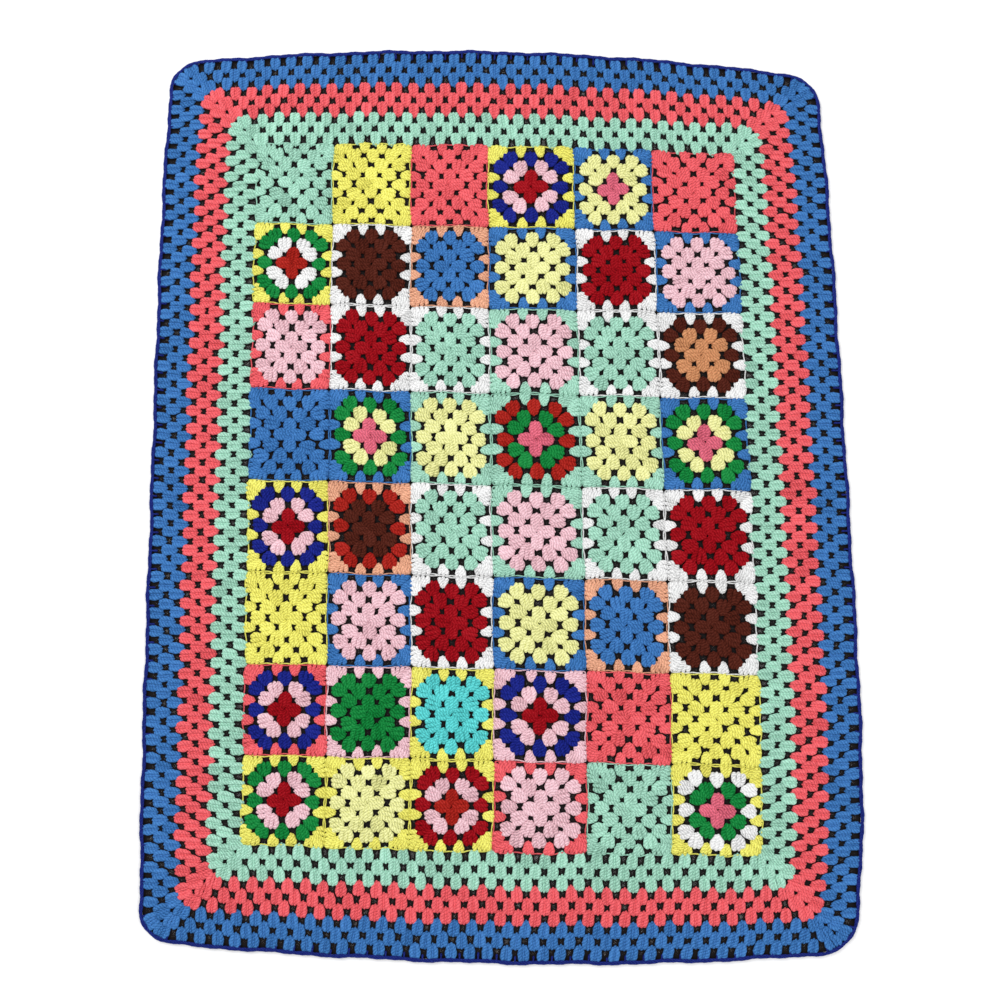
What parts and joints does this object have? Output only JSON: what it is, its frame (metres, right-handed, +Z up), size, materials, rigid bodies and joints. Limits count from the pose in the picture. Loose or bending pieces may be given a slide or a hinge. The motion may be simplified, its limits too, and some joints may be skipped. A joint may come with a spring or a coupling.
{
  "type": "throw blanket",
  "caption": "Crocheted granny-square throw: joined squares inside mint, coral and blue bands with a navy edging, with three parallel fold lines across it.",
  "frame": {"origin": "centre of the throw's box, on the surface it lies on, with the throw spread flat", "axes": "+Y along the length towards the end with the single-colour corner square, +X across the width to the right seen from above, +Z up through the thickness"},
  "size_m": [0.9852, 1.2906, 0.007],
  "materials": {
    "blue_yarn": "matte acrylic yarn, plied",
    "coral_yarn": "matte acrylic yarn, plied",
    "mint_yarn": "matte acrylic yarn, plied",
    "navy_yarn": "matte acrylic yarn, plied",
    "peach_yarn": "matte acrylic yarn, plied",
    "pink_yarn": "matte acrylic yarn, plied",
    "white_yarn": "matte acrylic yarn, plied",
    "yellow_yarn": "matte acrylic yarn, plied"
  },
  "bodies": {
    "top_end": {"blue_band_top_end": "blue_yarn", "coral_band_top_end": "coral_yarn", "mint_band_top_end": "mint_yarn", "navy_edging_top_end": "navy_yarn", "square_r1_c1": "mint_yarn", "square_r1_c2": "yellow_yarn", "square_r1_c3": "coral_yarn", "square_r1_c4": "yellow_yarn", "square_r1_c5": "blue_yarn", "square_r1_c6": "coral_yarn"},
    "upper_half": {"blue_band_upper_half": "blue_yarn", "coral_band_upper_half": "coral_yarn", "mint_band_upper_half": "mint_yarn", "navy_edging_upper_half": "navy_yarn", "square_r2_c1": "yellow_yarn", "square_r2_c2": "white_yarn", "square_r2_c3": "peach_yarn", "square_r2_c4": "blue_yarn", "square_r2_c5": "white_yarn", "square_r2_c6": "blue_yarn", "square_r3_c1": "coral_yarn", "square_r3_c2": "white_yarn", "square_r3_c4": "mint_yarn", "square_r3_c6": "white_yarn", "square_r4_c1": "blue_yarn", "square_r4_c4": "mint_yarn", "squares_r3_c3_and_c5": "white_yarn", "squares_r4_c2_and_c6": "blue_yarn", "squares_r4_c3_and_c5": "mint_yarn"},
    "lower_half": {"blue_band_lower_half": "blue_yarn", "coral_band_lower_half": "coral_yarn", "mint_band_lower_half": "mint_yarn", "navy_edging_lower_half": "navy_yarn", "square_r5_c1": "yellow_yarn", "square_r5_c2": "peach_yarn", "square_r5_c4": "mint_yarn", "square_r5_c6": "white_yarn", "square_r6_c1": "yellow_yarn", "square_r6_c2": "blue_yarn", "square_r6_c3": "white_yarn", "square_r6_c4": "blue_yarn", "square_r6_c5": "peach_yarn", "square_r6_c6": "white_yarn", "square_r7_c1": "coral_yarn", "square_r7_c2": "pink_yarn", "square_r7_c3": "yellow_yarn", "square_r7_c4": "pink_yarn", "square_r7_c5": "coral_yarn", "square_r7_c6": "yellow_yarn", "squares_r5_c3_and_c5": "white_yarn"},
    "bottom_end": {"blue_band_bottom_end": "blue_yarn", "coral_band_bottom_end": "coral_yarn", "mint_band_bottom_end": "mint_yarn", "navy_edging_bottom_end": "navy_yarn", "square_r8_c1": "yellow_yarn", "square_r8_c2": "yellow_yarn", "square_r8_c3": "yellow_yarn", "square_r8_c4": "coral_yarn", "square_r8_c5": "mint_yarn", "square_r8_c6": "yellow_yarn"}
  },
  "joints": [
    {"name": "fold_top_end", "type": "hinge", "parent": "upper_half", "child": "top_end", "pos_m": [-0.00799, 0.37614, 0.0072], "axis": [0.9997, -0.023, 0], "range_deg": [0, 180]},
    {"name": "fold_middle", "type": "hinge", "parent": "upper_half", "child": "lower_half", "pos_m": [-0.00312, 0.00214, 0.0154], "axis": [-0.9997, 0.023, 0], "range_deg": [0, 180]},
    {"name": "fold_bottom_end", "type": "hinge", "parent": "lower_half", "child": "bottom_end", "pos_m": [0.00042, -0.37726, 0.0072], "axis": [-0.9997, 0.023, 0], "range_deg": [0, 180]}
  ]
}
